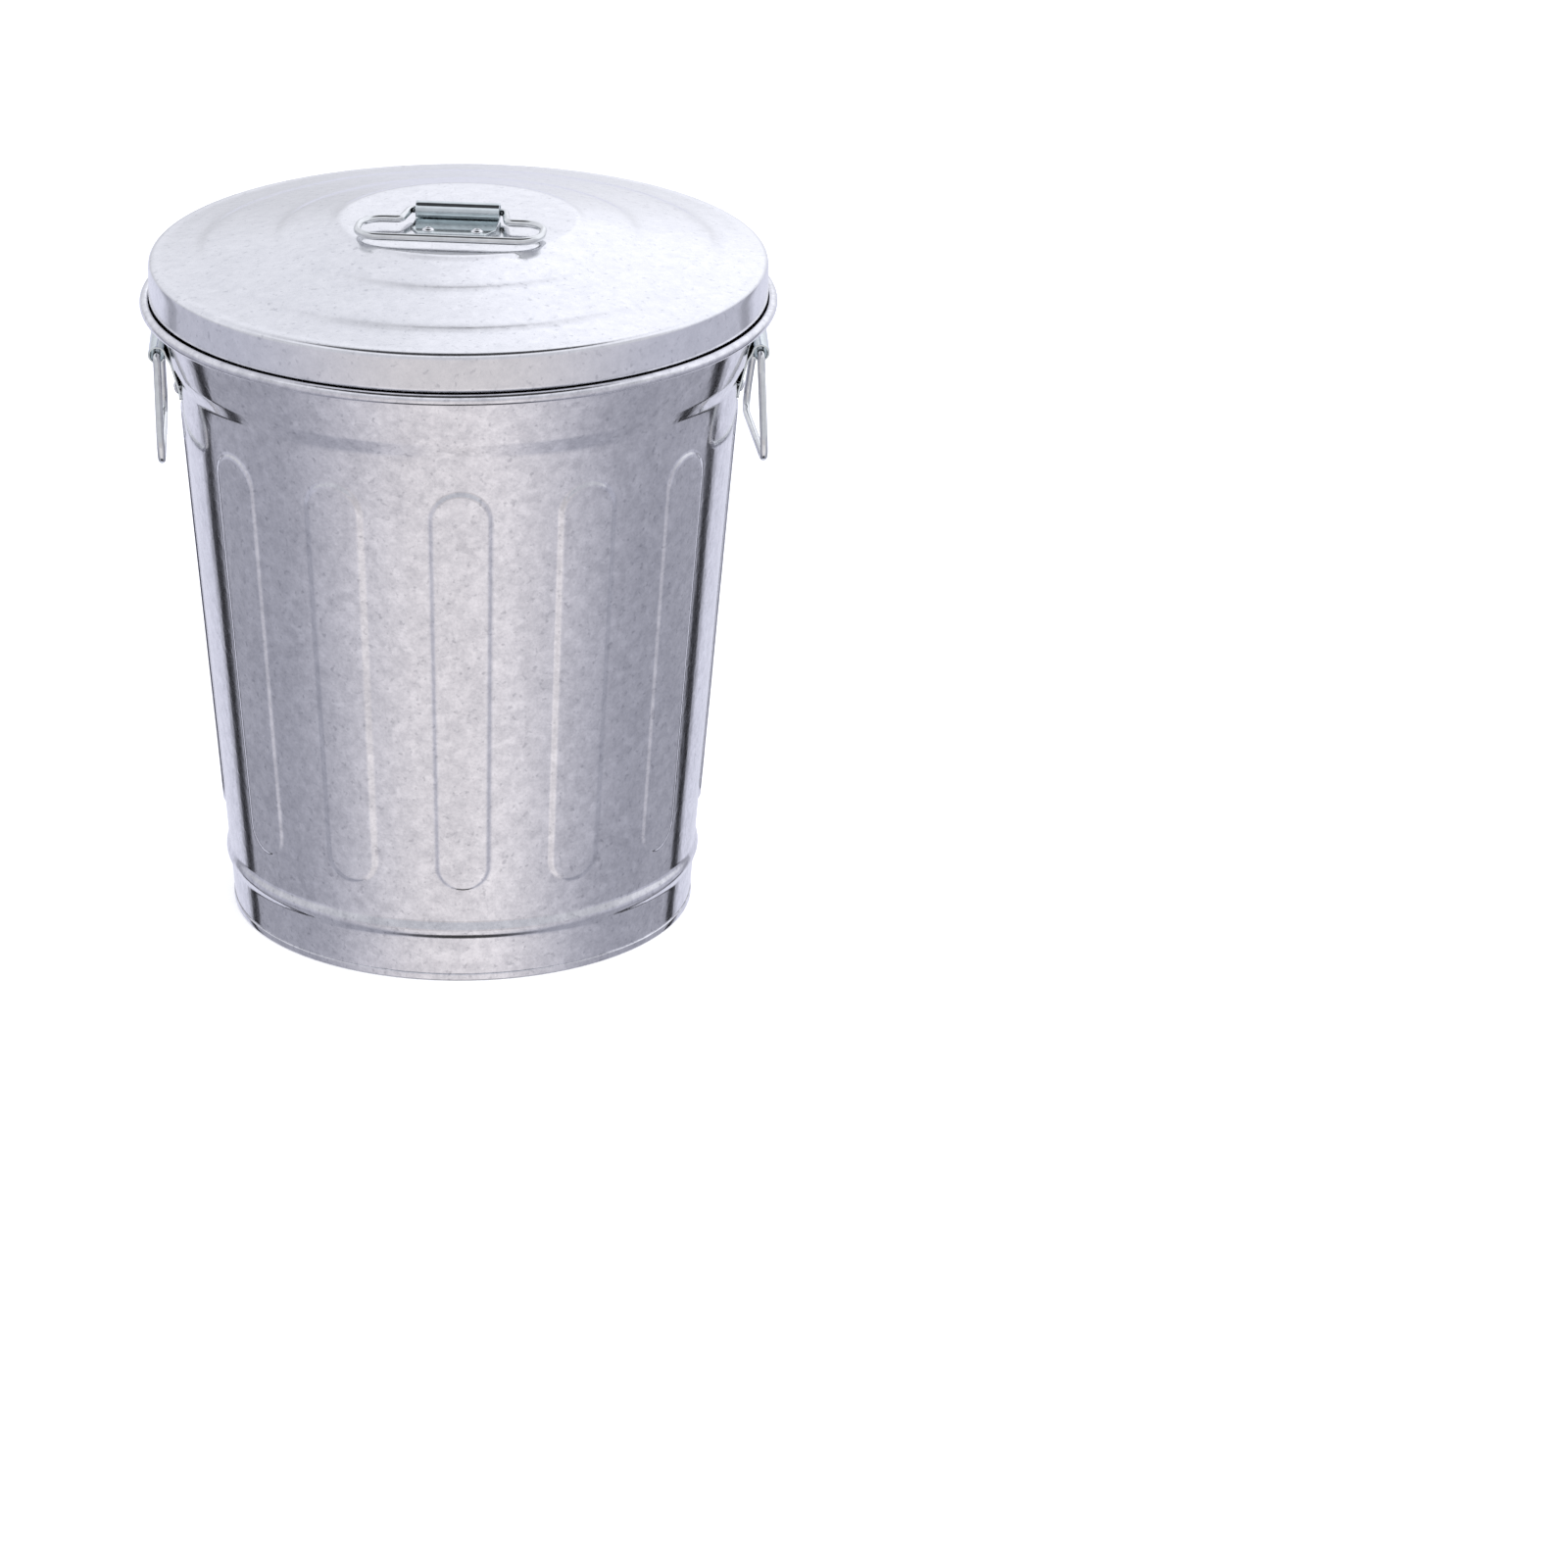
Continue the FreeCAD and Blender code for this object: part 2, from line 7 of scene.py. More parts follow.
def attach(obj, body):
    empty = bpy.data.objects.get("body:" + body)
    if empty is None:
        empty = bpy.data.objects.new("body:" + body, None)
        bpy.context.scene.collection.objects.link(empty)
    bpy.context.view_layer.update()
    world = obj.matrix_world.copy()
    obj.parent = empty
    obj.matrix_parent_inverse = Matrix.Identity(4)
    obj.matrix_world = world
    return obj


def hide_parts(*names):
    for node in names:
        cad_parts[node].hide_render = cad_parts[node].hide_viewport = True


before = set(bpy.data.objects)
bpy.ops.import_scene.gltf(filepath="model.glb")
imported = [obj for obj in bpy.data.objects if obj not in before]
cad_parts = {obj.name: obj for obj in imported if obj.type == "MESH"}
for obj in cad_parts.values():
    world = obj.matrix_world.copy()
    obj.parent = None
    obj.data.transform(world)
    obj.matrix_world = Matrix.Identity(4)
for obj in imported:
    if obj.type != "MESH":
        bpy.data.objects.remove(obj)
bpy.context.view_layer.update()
MM = 0.001

# ------------------------------------------------------------------ profiles
# Dimensions in millimetres, the same as the CAD part's.
SHEET = 0.7
BASE_R, TOP_R, TOP_Z = 121.4, 146.1, 299.2
RIM_R, RIM_Z, RIM_T = 162.2, 333.0, 2.8
RIB_OUT = 1.0
RIB_AT = [26.8 * k for k in range(-2, 3)] + [90.0, 126.4, 153.2, 206.8, 233.6, 270.0]
RIB_TOP, RIB_BOT = 278.0, 52.0
RIB_RT, RIB_RB = 16.4, 14.4
DISC_Z = 375.5
LID_YAW = math.radians(-7.5)
TUBE, STRAP = 4.6, 1.0
EAR_HALF, EAR_PLATE, CORNER_X, CORNER_Y = 21.7, 28.0, 4.4, 9.5
RIVET_X, RIVET_Y = 12.6, 22.5
HINGE = (0.0, -1.0, DISC_Z + TUBE + 0.02)
SIDE_R, SIDE_Z, SIDE_TILT = 155.8, 309.2, 14.8
LIFT = 0.06


def cone_r(z):
    return BASE_R + (TOP_R - BASE_R) / TOP_Z * z


def smooth(t):
    t = min(1.0, max(0.0, t))
    return t * t * (3.0 - 2.0 * t)


def catmull(points, per):
    """Dense polyline through corner points, rounded at the corners."""
    out = []
    n = len(points)
    for i in range(n - 1):
        p0 = points[max(0, i - 1)]
        p1, p2 = points[i], points[i + 1]
        p3 = points[min(n - 1, i + 2)]
        d01 = max(1e-6, math.dist(p0, p1)) ** 0.5
        d12 = max(1e-6, math.dist(p1, p2)) ** 0.5
        d23 = max(1e-6, math.dist(p2, p3)) ** 0.5
        k = per[i] if isinstance(per, list) else per
        for j in range(k):
            t = j / k
            m = []
            for c in (0, 1):
                if i == 0:
                    m1 = p2[c] - p1[c]
                else:
                    m1 = d12 * ((p1[c] - p0[c]) / d01 - (p2[c] - p0[c]) / (d01 + d12)) + (p2[c] - p1[c])
                if i == n - 2:
                    m2 = p2[c] - p1[c]
                else:
                    m2 = d12 * ((p3[c] - p2[c]) / d23 - (p3[c] - p1[c]) / (d12 + d23)) + (p2[c] - p1[c])
                a = 2 * p1[c] - 2 * p2[c] + m1 + m2
                b = -3 * p1[c] + 3 * p2[c] - 2 * m1 - m2
                m.append(a * t ** 3 + b * t ** 2 + m1 * t + p1[c])
            out.append(tuple(m))
    out.append(points[-1])
    return out


def rounded(points, radii, step=0.45):
    """Polyline whose corners are replaced by arcs of the given radii."""
    out = [points[0]]
    for i in range(1, len(points) - 1):
        p, a, b, r = points[i], points[i - 1], points[i + 1], radii[i - 1]
        la, lb = math.dist(a, p), math.dist(b, p)
        u = ((a[0] - p[0]) / la, (a[1] - p[1]) / la)
        w = ((b[0] - p[0]) / lb, (b[1] - p[1]) / lb)
        dot = max(-1.0, min(1.0, u[0] * w[0] + u[1] * w[1]))
        ang = math.acos(dot)
        if r <= 0 or ang > math.pi - 1e-3:
            out.append(p)
            continue
        t = min(r / math.tan(ang / 2), 0.49 * la, 0.49 * lb)
        r = t * math.tan(ang / 2)
        bis = (u[0] + w[0], u[1] + w[1])
        lb2 = math.hypot(*bis)
        cd = r / math.sin(ang / 2)
        c = (p[0] + bis[0] / lb2 * cd, p[1] + bis[1] / lb2 * cd)
        p0 = (p[0] + u[0] * t, p[1] + u[1] * t)
        p1 = (p[0] + w[0] * t, p[1] + w[1] * t)
        a0 = math.atan2(p0[1] - c[1], p0[0] - c[0])
        a1 = math.atan2(p1[1] - c[1], p1[0] - c[0])
        da = (a1 - a0 + math.pi) % (2 * math.pi) - math.pi
        k = max(2, int(abs(da) * r / step) + 2)
        for j in range(k + 1):
            q = a0 + da * j / k
            out.append((c[0] + r * math.cos(q), c[1] + r * math.sin(q)))
    out.append(points[-1])
    return out


def split_long(points, longest):
    out = [points[0]]
    for a, b in zip(points, points[1:]):
        k = max(1, int(math.ceil(math.dist(a, b) / longest)))
        for j in range(1, k + 1):
            out.append((a[0] + (b[0] - a[0]) * j / k, a[1] + (b[1] - a[1]) * j / k))
    return out


def mesh_object(name, verts, faces, smooth_all=True):
    me = bpy.data.meshes.new(name)
    me.from_pydata([tuple(c * MM for c in v) for v in verts], [], faces)
    me.validate(verbose=False)
    me.update()
    ob = bpy.data.objects.new(name, me)
    bpy.context.scene.collection.objects.link(ob)
    if smooth_all:
        for p in me.polygons:
            p.use_smooth = True
    return ob


def outward(ob):
    """Make the faces of a closed mesh look outward."""
    import bmesh
    bm = bmesh.new()
    bm.from_mesh(ob.data)
    bmesh.ops.recalc_face_normals(bm, faces=bm.faces)
    bm.to_mesh(ob.data)
    bm.free()
    return ob


def ring_mesh(name, loop, angles, bump=None, closed=True):
    """Surface of revolution of a closed (r, z) loop; bump moves a point."""
    n, m = len(loop), len(angles)
    verts, faces = [], []
    for a in angles:
        s, c = math.sin(a), math.cos(a)
        for j, (r, z) in enumerate(loop):
            rr, zz = (r, z) if bump is None else bump(j, a, r, z)
            verts.append((rr * s, -rr * c, zz))
    for i in range(m):
        i2 = (i + 1) % m
        for j in range(n):
            j2 = (j + 1) % n
            if not closed and j2 == 0:
                continue
            faces.append((i * n + j, i2 * n + j, i2 * n + j2, i * n + j2))
    ob = mesh_object(name, verts, faces)
    return outward(ob)


def even(m):
    return [2 * math.pi * i / m for i in range(m)]


def wobble(x, y, z, scale, seed=0.0):
    return noise.noise(Vector((x / scale + seed, y / scale - seed, z / scale + 2.0 * seed)))


# ------------------------------------------------------------------ body wall
def rib_height(s, z):
    """0..1 over a rib: s is millimetres from its centre line."""
    zt, zb = RIB_TOP - RIB_RT, RIB_BOT + RIB_RB
    sn = (RIB_RT - RIB_RB) / (zt - zb)
    # signed distance to the hull of two circles
    t = (z - zb) / (zt - zb) + (abs(s) * sn) / (zt - zb)
    t = min(1.0, max(0.0, t))
    cz = zb + (zt - zb) * t
    rr = RIB_RB + (RIB_RT - RIB_RB) * t
    d = rr - math.hypot(s, z - cz)
    return smooth((d + 0.15) / 2.8)


def rib_field(a, r, z):
    if z < RIB_BOT - 3 or z > RIB_TOP + 3:
        return 0.0
    deg = math.degrees(a)
    off = min(((deg - c + 180.0) % 360.0 - 180.0 for c in RIB_AT), key=abs)
    if abs(off) > 9.0:
        return 0.0
    s = math.radians(off) * r
    return rib_height(s, z)


def seam_field(a, r, z):
    """Folded lock seam up the back."""
    if z < 6.5 or z > 327.0:
        return 0.0
    deg = (math.degrees(a) + 360.0) % 360.0 - 180.0
    s = abs(math.radians(deg) * r)
    return smooth((4.2 - s) / 1.0) * smooth((z - 6.5) / 3.0) * smooth((327.0 - z) / 2.0)


RING_Z, RING_OUT, RING_HALF = 29.0, 1.9, 5.5


def ring_bump(z):
    t = (z - RING_Z) / RING_HALF
    if abs(t) >= 1.0:
        return 0.0
    return RING_OUT * (0.5 + 0.5 * math.cos(math.pi * t)) ** 0.8


outer = [(cone_r(v), v) for v in (1.0, 1.15, 1.5, 2.6, 6.0, 10.0, 14.0, 17.5, 20.0)]
z = 20.0
while z < 38.0:
    z += 0.75
    outer.append((cone_r(z) + ring_bump(z), z))
lower = []
z = 40.0
while z < 46.0:
    lower.append((cone_r(z), z)); z += 3.0
z = 49.0
while z < 70.0:
    lower.append((cone_r(z), z)); z += 0.7
while z < 258.0:
    lower.append((cone_r(z), z)); z += 9.0
z = 259.0
while z < 281.0:
    lower.append((cone_r(z), z)); z += 0.7
z = 283.0
while z < 291.0:
    lower.append((cone_r(z), z)); z += 3.0
outer += lower
step_part = rounded([(cone_r(292.0), 292.0), (145.95, 296.4), (149.95, 304.9), (156.2, 329.0),
                     (159.0, 331.6)], [9.0, 9.0, 1.5], 0.3)
outer += split_long(step_part, 3.0)
roll = []
a0 = math.radians(205.0)
for j in range(1, 30):
    q = a0 + math.radians(330.0) * j / 29
    roll.append((RIM_R + RIM_T * math.cos(q), RIM_Z + RIM_T * math.sin(q)))
# the roll runs down the outside, round below and up to the mouth
roll_loop = []
for j in range(34):
    q = math.radians(214.0) + math.radians(326.0) * j / 33
    roll_loop.append((RIM_R + RIM_T * math.cos(q), RIM_Z + RIM_T * math.sin(q)))

# the sheet comes up the inside of the roll, over it and down the outside, and
# its edge ends tucked against the wall
outer_closed = [p for p in outer if p[1] < 331.0]
tuck = [p for p in roll_loop]
n_out = len(outer_closed)
inner = []
for r, zz in reversed(outer_closed):
    if 38.5 > zz > 19.5 or zz > 290.0 or 47.0 < zz < 72.0 or 257.0 < zz < 283.0:
        inner.append((r - SHEET, zz))
    elif not inner or abs(inner[-1][1] - zz) > 6.0 or zz < 2.0:
        inner.append((r - SHEET, zz))
mouth = [(RIM_R - RIM_T + 0.02, RIM_Z - 0.2), (RIM_R - RIM_T - 0.25, RIM_Z - 1.4), (157.4, 330.9)]
loop = outer_closed + tuck + mouth + inner
marks = [z for _, z in loop]


def wall_bump(j, a, r, z):
    x, y = math.sin(a) * r, -math.cos(a) * r
    k = 1.0 if j < n_out else 0.0
    is_roll = n_out <= j < n_out + len(tuck) + len(mouth)
    out = 0.0
    if not is_roll:
        out += RIB_OUT * rib_field(a, r, z) + 0.9 * seam_field(a, r, z)
        if z > 8:
            out += 0.14 * wobble(x, y, z * 0.6, 42.0, 3.1) * smooth((z - 8) / 12)
            out += 0.035 * wobble(x, y, z * 0.8, 15.0, 9.7)
    return r + out, z


angles = []
for n_c, c in enumerate(RIB_AT):
    q = -7.4
    while q < 7.4 + 1e-6:
        angles.append(c + q)
        q += 0.4
    nxt = RIB_AT[(n_c + 1) % len(RIB_AT)]
    start, end = c + 7.4, (nxt - 7.4) % 360.0
    if end < start:
        end += 360.0
    seam_gap = start < 180.0 < end
    count = 90 if seam_gap else max(4, int((end - start) / 1.1))
    for i in range(1, count):
        angles.append(start + (end - start) * i / count)
angles = [math.radians(v) for v in sorted(set(round(v % 360.0, 4) for v in angles))]
body = ring_mesh("side_wall", loop, angles, wall_bump)
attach(body, "can")
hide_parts("body_shell")

# ------------------------------------------------------------------ bottom pan
pan_pts = [(0.0, 8.5), (0.0, 7.8), (117.5, 7.8), (119.7, 5.6), (119.7, 0.35), (120.05, 0.0),
           (121.75, 0.0), (122.1, 0.5), (122.3, 3.3), (122.1, 3.75), (121.75, 3.8), (121.46, 0.9),
           (120.65, 0.9), (120.65, 6.2), (119.8, 7.6), (117.9, 8.5)]


def pan_mesh():
    core = rounded(pan_pts[2:], [1.8, 0.3, 0.3, 0.35, 0.4, 0.25, 0.1, 0.3, 0.3, 0.3, 0.9, 1.2], 0.3)
    core = split_long([(40.0, 7.8), (90.0, 7.8)] + core + [(90.0, 8.5), (40.0, 8.5)], 12.0)
    m = 540
    n = len(core)
    verts, faces = [], []
    for i in range(m):
        a = 2 * math.pi * i / m
        s, c = math.sin(a), math.cos(a)
        for (r, z) in core:
            rr, zz = r, z
            if r > 122.0 and z > 0.3:
                # the hem is rolled on, so its edge isn't quite even
                f = smooth((z - 0.3) / 2.0)
                rr += 0.06 * f * wobble(r * s, r * c, 0, 5.5, 1.7)
                zz += 0.2 * f * wobble(r * s, r * c, 0, 9.0, 5.2)
            verts.append((rr * s, -rr * c, zz))
    for i in range(m):
        i2 = (i + 1) % m
        for j in range(n - 1):
            faces.append((i * n + j, i2 * n + j, i2 * n + j + 1, i * n + j + 1))
    lo = len(verts); verts.append((0, 0, 7.8))
    hi = len(verts); verts.append((0, 0, 8.5))
    for i in range(m):
        i2 = (i + 1) % m
        faces.append((lo, i2 * n, i * n))
        faces.append((hi, i * n + n - 1, i2 * n + n - 1))
    return outward(mesh_object("bottom", verts, faces))


pan = pan_mesh()
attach(pan, "can")
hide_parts("bottom_pan")

# ------------------------------------------------------------------ lid
top = [(0.0, 375.5), (30.0, 375.5), (60.2, 375.5)]
lid_corners = [(62.3, 375.42), (66.0, 374.2), (68.6, 373.6), (78.0, 371.8), (90.0, 369.4), (93.3, 368.2),
               (96.5, 367.3), (112.0, 364.7), (130.0, 361.4), (133.3, 360.2), (136.5, 359.2), (147.0, 357.5),
               (153.2, 356.55), (155.8, 356.35), (157.6, 356.15), (158.9, 355.5), (159.7, 354.5),
               (160.05, 353.0), (160.12, 348.0), (160.2, 340.0), (160.2, 337.4), (160.0, 336.3),
               (159.3, 335.35), (158.55, 334.0), (157.6, 332.2), (155.4, 330.0), (154.6, 328.6), (153.95, 325.9)]
top_line = top + catmull(lid_corners, 4)
lid_profile = split_long(top_line, 4.0)


def offset_line(points, d):
    out = []
    n = len(points)
    for i in range(n):
        a, b = points[max(0, i - 1)], points[min(n - 1, i + 1)]
        tx, ty = b[0] - a[0], b[1] - a[1]
        l = math.hypot(tx, ty)
        nx, ny = ty / l, -tx / l
        out.append((points[i][0] - nx * (-d), points[i][1] - ny * (-d)))
    return out


under = offset_line(lid_profile, SHEET)
under = [(max(0.0, r), z) for r, z in under]


def lid_mesh():
    m = 360
    lid_loop = lid_profile[1:] + [p for p in reversed(under[1:])]
    n = len(lid_loop)
    half = len(lid_profile) - 1
    verts, faces = [], []
    for i in range(m):
        a = 2 * math.pi * i / m
        s, c = math.sin(a), math.cos(a)
        for j, (r, z) in enumerate(lid_loop):
            x, y = r * s, -r * c
            f = smooth((r - 64.0) / 20.0) * smooth((159.0 - r) / 8.0) * (1.0 if z > 345 else 0.0)
            dz = f * (0.22 * wobble(x, y, 0, 46.0, 4.4) + 0.05 * wobble(x, y, 0, 17.0, 7.9))
            g = smooth((r - 62.0) / 1.0)
            dz += (1 - g) * 0.05 * wobble(x, y, 0, 26.0, 2.2) * smooth((58 - r) / 10)
            verts.append((x, y, z + dz))
    for i in range(m):
        i2 = (i + 1) % m
        for j in range(n - 1):
            faces.append((i * n + j, i2 * n + j, i2 * n + j + 1, i * n + j + 1))
    hi = len(verts); verts.append((0, 0, 375.5))
    lo = len(verts); verts.append((0, 0, 375.5 - SHEET))
    for i in range(m):
        i2 = (i + 1) % m
        faces.append((hi, i2 * n, i * n))
        faces.append((lo, i * n + n - 1, i2 * n + n - 1))
    return outward(mesh_object("lid_dome", verts, faces))


lid = lid_mesh()
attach(lid, "lid")
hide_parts("lid_shell")

# ------------------------------------------------------------------ ears
LID_AT = Matrix.Rotation(LID_YAW, 4, "Z") @ Matrix.Translation(Vector(HINGE))


def side_at(sign):
    return (Matrix.Translation(Vector((sign * SIDE_R, 0, SIDE_Z)))
            @ Matrix.Rotation(math.radians(90.0 * sign), 4, "Z")
            @ Matrix.Rotation(math.radians(SIDE_TILT), 4, "X")
            @ Matrix.Rotation(math.radians(90.0), 4, "X"))


def place(ob, m):
    """Bake a millimetre placement into a mesh made in metres."""
    t = m.copy()
    t.translation = t.translation * MM
    ob.data.transform(t)
    ob.data.update()
    return ob


def collar_r(z):
    return 149.4 + (156.2 - 149.4) / (329.0 - 303.2) * (z - 303.2)


def flat_under(x, y):
    """Underside of the lid ear's plate: the disc."""
    return -TUBE


def side_under(x, y):
    """Underside of a side ear's plate, in the ear's frame, over the can's side."""
    m = side_at(1)
    z = -TUBE - 0.2
    for _ in range(5):
        p = m @ Vector((x, y, z))
        want = max(collar_r(p.z), cone_r(p.z)) + LIFT
        z += (want - math.hypot(p.x, p.y)) * math.cos(math.radians(SIDE_TILT))
    return z


def ear_mesh(name, under, where):
    """Strap: plate over the surface below it, then a loop over the hinge line."""
    mid = TUBE - STRAP / 2.0
    stations = [-EAR_HALF]
    count = 34
    for i in range(1, count):
        stations.append(-EAR_HALF + 2 * EAR_HALF * i / count)
    stations.append(EAR_HALF)
    for sx in (-1, 1):
        stations.append(sx * (EAR_HALF - CORNER_X))
    stations = sorted(set(round(v, 4) for v in stations))
    rows = []
    steps, turn = 26, 44
    for x in stations:
        far = EAR_PLATE - CORNER_Y * max(0.0, abs(x) - (EAR_HALF - CORNER_X)) / CORNER_X
        line = []
        for j in range(steps):
            y = -far * (1 - j / steps)
            z_plate = under(x, y) + STRAP / 2.0
            line.append((y, z_plate + (-mid - z_plate) * smooth(1.0 + y / 8.0)))
        for j in range(turn + 1):
            q = math.radians(-90.0 + 317.0 * j / turn)
            line.append((mid * math.cos(q), mid * math.sin(q)))
        n = len(line)
        up, down = [], []
        for i in range(n):
            a, b = line[max(0, i - 1)], line[min(n - 1, i + 1)]
            tx, ty = b[0] - a[0], b[1] - a[1]
            l = math.hypot(tx, ty)
            nx, ny = -ty / l, tx / l
            up.append((line[i][0] + nx * STRAP / 2, line[i][1] + ny * STRAP / 2))
            down.append((line[i][0] - nx * STRAP / 2, line[i][1] - ny * STRAP / 2))
        rows.append([(x, p[0], p[1]) for p in up + list(reversed(down))])
    m = len(rows[0])
    verts = [v for row in rows for v in row]
    faces = []
    for xi in range(len(rows) - 1):
        for j in range(m):
            j2 = (j + 1) % m
            faces.append((xi * m + j, xi * m + j2, (xi + 1) * m + j2, (xi + 1) * m + j))
    for base in (0, (len(rows) - 1) * m):
        for j in range(n - 1):
            faces.append((base + j, base + j + 1, base + m - 2 - j, base + m - 1 - j))
    ob = mesh_object(name, verts, faces)
    import bmesh
    bm = bmesh.new()
    bm.from_mesh(ob.data)
    bmesh.ops.recalc_face_normals(bm, faces=bm.faces)
    sharp = [e for e in bm.edges if len(e.link_faces) == 2 and e.calc_face_angle(0) > math.radians(40)]
    bmesh.ops.bevel(bm, geom=sharp, offset=0.16 * MM, segments=2, profile=0.5, affect="EDGES")
    bm.to_mesh(ob.data)
    bm.free()
    for p in ob.data.polygons:
        p.use_smooth = True
    return place(ob, where)


lid_ear = ear_mesh("lid_ear_strap", flat_under, LID_AT)
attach(lid_ear, "lid")
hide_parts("lid_ear")
side_ears = []
for sgn, side in ((-1, "left"), (1, "right")):
    ob = ear_mesh(side + "_ear_strap", side_under, side_at(sgn))
    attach(ob, "can")
    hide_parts(side + "_ear")
    side_ears.append(ob)


# ------------------------------------------------------------------ rivets
def rivet_mesh(name, frames, grip):
    prof = [(0.93, 0.15), (1.02, 1.0), (1.3, 1.27), (1.9, 1.16), (2.6, 0.84), (3.1, 0.42), (3.29, 0.12), (3.26, 0.0),
            (1.6, 0.0), (1.6, -grip), (2.1, -grip), (2.35, -grip - 0.5), (2.2, -grip - 1.4), (1.4, -grip - 1.6),
            (0.93, -grip - 1.6)]
    m = 32
    n = len(prof)
    verts, faces = [], []
    for frame_at in frames:
        base = len(verts)
        for i in range(m):
            a = 2 * math.pi * i / m
            for (r, z) in prof:
                verts.append(tuple(frame_at @ Vector((r * math.cos(a), r * math.sin(a), z))))
        for i in range(m):
            i2 = (i + 1) % m
            for j in range(n):
                j2 = (j + 1) % n
                faces.append((base + i * n + j, base + i2 * n + j, base + i2 * n + j2, base + i * n + j2))
    return outward(mesh_object(name, verts, faces))


def lid_rivet_frames():
    return [LID_AT @ Matrix.Translation(Vector((sx * RIVET_X, -RIVET_Y, -TUBE + STRAP))) for sx in (-1, 1)]


def side_rivet_frames(sign):
    reach = (SIDE_R - collar_r(SIDE_Z)) * math.cos(math.radians(SIDE_TILT))
    turn = math.asin(RIVET_X / collar_r(SIDE_Z))
    return [Matrix.Rotation(sx * turn, 4, "Z") @ side_at(sign)
            @ Matrix.Translation(Vector((0.0, -RIVET_Y, -reach + LIFT + STRAP + 0.28))) for sx in (-1, 1)]


for name, frames_at, grip, body_name, node_name in (
        ("lid_rivet_heads", lid_rivet_frames(), 1.9, "lid", "lid_ear_rivets"),
        ("left_rivet_heads", side_rivet_frames(-1), 3.0, "can", "left_ear_rivets"),
        ("right_rivet_heads", side_rivet_frames(1), 3.0, "can", "right_ear_rivets")):
    ob = rivet_mesh(name, frames_at, grip)
    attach(ob, body_name)
    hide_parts(node_name)


# ------------------------------------------------------------------ wire bails
def bend_path(points, radii, step=1.2):
    """3-D path of straight runs joined by tangent arcs."""
    pts = [Vector(p) for p in points]
    out = [pts[0]]
    for i in range(1, len(pts) - 1):
        p, a, b, r = pts[i], pts[i - 1], pts[i + 1], radii[i - 1]
        u, w = (a - p).normalized(), (b - p).normalized()
        ang = u.angle(w)
        t = r / math.tan(ang / 2)
        bis = (u + w).normalized()
        c = p + bis * (r / math.sin(ang / 2))
        p0, p1 = p + u * t, p + w * t
        e0, e1 = (p0 - c).normalized(), (p1 - c).normalized()
        total = e0.angle(e1)
        k = max(4, int(total * r / step) + 3)
        for j in range(k + 1):
            f = j / k
            v = (e0 * math.sin((1 - f) * total) + e1 * math.sin(f * total)) / math.sin(total)
            out.append(c + v.normalized() * r)
    out.append(pts[-1])
    clean = [out[0]]
    for p in out[1:]:
        if (p - clean[-1]).length > 0.05:
            clean.append(p)
    return clean


def wire_mesh(name, path, radius, where, sides=20):
    verts, faces = [], []
    n = len(path)
    tangent = [(path[min(n - 1, i + 1)] - path[max(0, i - 1)]).normalized() for i in range(n)]
    up = Vector((0, 0, 1))
    rings = []
    ends = [(0.0, 0.55), (0.22, 0.85), (0.5, 1.0)]
    seq = []
    for d, f in ends:
        seq.append((path[0] + tangent[0] * d, tangent[0], f))
    for i in range(1, n - 1):
        seq.append((path[i], tangent[i], 1.0))
    for d, f in reversed(ends):
        seq.append((path[-1] - tangent[-1] * d, tangent[-1], f))
    for p, t, f in seq:
        side = t.cross(up).normalized()
        nor = side.cross(t).normalized()
        for k in range(sides):
            q = 2 * math.pi * k / sides
            verts.append(tuple(p + (side * math.cos(q) + nor * math.sin(q)) * radius * f))
    m = len(seq)
    for i in range(m - 1):
        for k in range(sides):
            k2 = (k + 1) % sides
            faces.append((i * sides + k, i * sides + k2, (i + 1) * sides + k2, (i + 1) * sides + k))
    faces.append(tuple(range(sides - 1, -1, -1)))
    faces.append(tuple((m - 1) * sides + k for k in range(sides)))
    ob = outward(mesh_object(name, verts, faces))
    return place(ob, where)


def both_sides(left):
    return left + [(-p[0], p[1], p[2]) for p in reversed(left)]


lid_slant = math.asin(0.75 / 45.3)
lid_wire_pts = both_sides([(-1.2, 0, 0), (-24.6, 0, 0), (-27.6, -16.5, 0), (-47.5, -16.5, 0), (-47.5, -45.3, 0)])
lid_bail = wire_mesh("lid_handle_wire", bend_path(lid_wire_pts, [3.4, 3.6, 12.0, 12.0, 12.0, 12.0, 3.6, 3.4]),
                     2.0, LID_AT @ Matrix.Rotation(lid_slant, 4, "X"))
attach(lid_bail, "lid_handle")
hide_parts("lid_bail")



def side_wire_pts(at_minus, at_plus):
    """Corner points; the two numbers say how far each lower corner stands out."""
    out = []
    for sx, off in ((-1, at_minus), (1, at_plus)):
        leg = [(sx * 1.2, 0, 0), (sx * 24.8, 0, 0), (sx * 26.4, -9.0, 0.17 * off),
               (sx * 41.0, -40.5, 0.77 * off), (sx * 39.5, -52.5, off)]
        out += leg if sx < 0 else list(reversed(leg))
    return out


for sgn, side, bend in ((-1, "left", (-0.5, -2.2)), (1, "right", (1.5, -5.0))):
    hang = (Matrix.Translation(Vector((sgn * SIDE_R, 0, SIDE_Z)))
            @ Matrix.Rotation(math.radians(90.0 * sgn), 4, "Z")
            @ Matrix.Rotation(math.radians(90.0), 4, "X"))
    ob = wire_mesh(side + "_handle_wire",
                   bend_path(side_wire_pts(*bend), [3.2, 8.0, 14.0, 7.5, 7.5, 14.0, 8.0, 3.2]), 2.0, hang)
    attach(ob, side + "_handle")
    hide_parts(side + "_bail")


